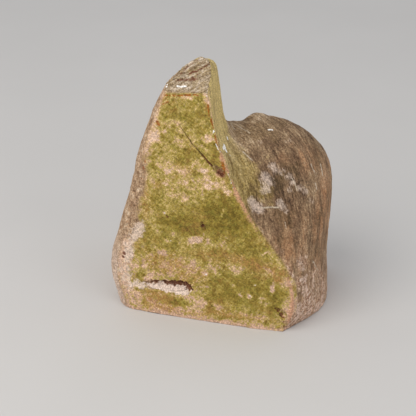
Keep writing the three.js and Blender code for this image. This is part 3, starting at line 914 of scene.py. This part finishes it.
def weatheredStone():
    material = bpy.data.materials.new("weatheredSandstone")
    material.use_nodes = True
    nodes = NodeMaker(material.node_tree)
    surface = material.node_tree.nodes["Principled BSDF"]
    place = nodes.add("ShaderNodeTexCoord").outputs["Object"]
    torn, bed, drawn, grain = tornMaskGroup(), beddingGroup(), drawnGroup(), grainGroup()
    mask = nodes.attribute

    def sway(value, noise, share):
        return nodes.math("MULTIPLY_ADD", nodes.math("SUBTRACT", noise, 0.5), share, value)

    def beddingNoise(stretch, scale, detail, roughness):
        return nodes.group(bed, Vector=place, Stretch=stretch, Scale=scale, Detail=detail,
                           Roughness=roughness)

    def drawnNoise(way, stretch, scale, detail, roughness):
        return nodes.group(drawn, Vector=place, Way=way, Stretch=stretch, Scale=scale, Detail=detail,
                           Roughness=roughness)

    def lay(below, name, tone, noise, tear, softness, share):
        shape = nodes.group(torn, Mask=mask(name), Noise=noise, Tear=tear, Softness=softness)
        return nodes.mix(nodes.times(shape, share), below, tone)

    # the number in each name is about the width of the noise's swells, in mm
    n2 = nodes.noise(place, 430, 2, 0.6)
    n5 = nodes.noise(place, 200, 4, 0.65)
    n7 = nodes.noise(place, 150, 3, 0.6)
    n12 = nodes.noise(place, 80, 5, 0.65)
    n40 = nodes.noise(place, 25, 5, 0.6)
    blades = drawnNoise((0.55, 0.0, 0.835), 4.0, 420, 3, 0.6)
    longBlades = drawnNoise((0.80, 0.0, -0.60), 5.0, 380, 3, 0.6)
    s2 = beddingNoise(3.0, 520, 3, 0.65)
    s3 = beddingNoise(5.0, 300, 4, 0.68)
    s9 = beddingNoise(5.0, 100, 4, 0.6)

    # moss over pink stone: one density, from bare to thick, steadier where it is thick
    play = nodes.step(mask("moss"), 0.45, 0.80, 1.0, 0.45)
    rough = sway(sway(sway(0.0, n40, 0.6), n12, 1.5), n5, 1.2)
    rough = sway(sway(sway(rough, blades, 1.0), longBlades, 0.8), n2, 0.5)
    density = nodes.math("MULTIPLY_ADD", rough, play, mask("moss"))
    faceColour = nodes.ramp(density, finish["mossRamp"])
    mossy = nodes.step(density, 0.38, 0.6)
    greenShare = nodes.times(nodes.times(nodes.step(n7, 0.46, 0.62), mossy), 0.3)
    faceColour = nodes.mix(greenShare, faceColour, finish["mossGreen"])
    pinkShare = nodes.times(mask("lowFace"), nodes.step(density, 0.44, 0.28))
    faceColour = nodes.mix(nodes.times(pinkShare, 0.7), faceColour, finish["footPink"])
    brownShare = nodes.math("MULTIPLY_ADD", mask("stain"), 0.7, nodes.step(n40, 0.50, 0.66, 0.0, 0.3))
    brownShare = nodes.times(brownShare, nodes.step(n7, 0.64, 0.40, 0.35, 1.0))
    faceColour = nodes.mix(brownShare, faceColour, finish["mossBrown"])
    fleckShare = nodes.times(nodes.step(n2, 0.60, 0.70), nodes.step(density, 0.72, 0.42, 0.0, 0.6))
    faceColour = nodes.mix(fleckShare, faceColour, finish["fleck"])

    # flank: streaked dark crust, warmer below and to the right, pale at the foot
    streakValue = sway(sway(sway(sway(0.50, n40, 0.5), s9, 0.7), s3, 0.8), s2, 0.6)
    # the tone mask lightens the saddle behind the fin as painted light against the fin's shade, and shifts
    # the flank's tone elsewhere
    streakValue = sway(streakValue, mask("crustToneAndLight"), 0.5)
    colour = nodes.ramp(streakValue, finish["crustRamp"])
    colour = nodes.mix(nodes.times(nodes.step(n40, 0.50, 0.40), 0.15), colour, finish["olive"])
    warmShare = nodes.times(mask("warm"), nodes.step(s9, 0.38, 0.62, 0.1, 0.6))
    colour = nodes.mix(warmShare, colour, finish["tan"])
    footColour = nodes.ramp(sway(sway(sway(0.52, n5, 1.5), s2, 0.8), n2, 0.7), finish["footRamp"])
    footMask = nodes.group(torn, Mask=mask("footPale"), Noise=s9, Tear=2.0, Softness=0.6)
    colour = nodes.mix(nodes.times(footMask, 0.85), colour, footColour)
    filmColour = nodes.ramp(streakValue, finish["filmRamp"])
    finPaleShare = nodes.times(nodes.times(mask("finPale"), nodes.step(s9, 0.36, 0.54)), 0.85)
    filmColour = nodes.mix(finPaleShare, filmColour, finish["finPale"])
    filmMask = nodes.group(torn, Mask=mask("film"), Noise=s9, Tear=1.3, Softness=0.5)
    colour = nodes.mix(nodes.times(filmMask, 0.85), colour, filmColour)

    # left side and broken top
    leftColour = nodes.ramp(sway(sway(sway(0.52, s3, 1.0), s2, 0.8), n5, 0.7), finish["leftRamp"])
    leftLow = nodes.mix(0.7, footColour, finish["palePink"])
    leftPaleShare = nodes.times(mask("leftPale"), nodes.step(s9, 0.30, 0.6, 0.4, 1.0))
    leftColour = nodes.mix(leftPaleShare, leftColour, leftLow)
    rustShare = nodes.times(nodes.step(n7, 0.60, 0.68), nodes.step(n12, 0.5, 0.6))
    leftColour = nodes.mix(nodes.times(rustShare, 0.6), leftColour, finish["rust"])
    colour = nodes.mix(mask("leftSide"), colour, leftColour)
    ledges = drawnNoise(stone["ledgeWay"], 11.0, 300, 4, 0.65)
    facetColour = nodes.ramp(sway(sway(sway(0.51, ledges, 1.4), n5, 0.4), n2, 0.3), finish["facetRamp"])
    facetColour = nodes.mix(nodes.times(nodes.step(n12, 0.5, 0.6), 0.38), facetColour, finish["ochre"])
    colour = nodes.mix(mask("facet"), colour, facetColour)
    colour = nodes.mix(mask("face"), colour, faceColour)
    colour = lay(colour, "arris", finish["footPink"], n5, 3.0, 0.35, 0.4)
    colour = lay(colour, "arrisLine", finish["arrisPink"], n5, 1.6, 0.4, 0.75)

    # lichen, scratches, chips, rust, the reddish hollow, and painted shade in the crack, holes, groove and
    # shadow lines
    colour = lay(colour, "lichen", finish["lichen"], s2, 2.6, 0.5, 0.74)
    colour = lay(colour, "worn", finish["worn"], n5, 2.8, 0.4, 0.75)
    colour = lay(colour, "scratch", finish["scratch"], n5, 1.6, 0.35, 0.75)
    colour = lay(colour, "leftChalk", finish["palePink"], n5, 3.0, 0.35, 0.85)
    colour = lay(colour, "groovePale", finish["groovePale"], n5, 2.4, 0.35, 0.95)
    colour = lay(colour, "hollow", finish["hollow"], n5, 2.0, 0.4, 0.8)
    colour = lay(colour, "rust", finish["rust"], n5, 2.4, 0.35, 0.85)
    colour = lay(colour, "chips", finish["chip"], n5, 1.2, 0.3, 0.95)
    # painted shade in the crack
    colour = lay(colour, "crack", finish["crack"], n5, 1.0, 0.4, 0.85)
    colour = lay(colour, "shadow", finish["shadow"], n5, 2.2, 0.35, 0.9)
    colour = nodes.group(grain, Color=colour, Noise=n2, Contrast=finish["grain"])
    nodes.link(colour, surface.inputs["Base Color"])

    nodes.link(nodes.step(n5, 0.3, 0.7, 0.84, 0.98), surface.inputs["Roughness"])
    surface.inputs["Specular IOR Level"].default_value = 0.25

    height = nodes.math("MULTIPLY_ADD", n5, 0.7, nodes.times(n2, 0.5))
    height = nodes.math("MULTIPLY_ADD", nodes.times(s3, mask("crust")), 1.2, height)
    height = nodes.math("MULTIPLY_ADD", nodes.times(ledges, mask("facet")), 0.8, height)
    bump = nodes.add("ShaderNodeBump")
    bump.inputs["Strength"].default_value = 0.9
    bump.inputs["Distance"].default_value = finish["bumpHeight"]
    nodes.link(height, bump.inputs["Height"])
    nodes.link(bump.outputs["Normal"], surface.inputs["Normal"])
    return material


def makeKeystone():
    block = copyOfNode()
    softenFacets(block)
    print("block softened:", len(block.data.polygons), "faces")
    refineFeatures(block)
    sculpt(block.data)
    makeActive(block)
    bpy.ops.object.shade_smooth()
    block.data.materials.append(weatheredStone())
    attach(block, "root")
    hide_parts("keystone")
    print("keystone made:", len(block.data.polygons), "triangles")


def makeFloor():
    deselectAll()
    bpy.ops.mesh.primitive_grid_add(
        x_subdivisions=8, y_subdivisions=8, size=studio["floorSize"], location=(0, 0, 0))
    floor = bpy.context.object
    floor.name = "studioFloor"
    material = bpy.data.materials.new("paleFloor")
    material.use_nodes = True
    nodes = NodeMaker(material.node_tree)
    surface = material.node_tree.nodes["Principled BSDF"]
    place = nodes.add("ShaderNodeTexCoord").outputs["Object"]
    tone = nodes.step(nodes.noise(place, 3.0, 2), 0.3, 0.7)
    dark = studio["floorColour"]
    light = [value * studio["floorPlay"] for value in dark]
    nodes.link(nodes.mix(tone, (*dark, 1.0), (*light, 1.0)), surface.inputs["Base Color"])
    surface.inputs["Roughness"].default_value = 0.9
    surface.inputs["Specular IOR Level"].default_value = 0.2
    floor.data.materials.append(material)


makeKeystone()
makeFloor()
print("floor made")
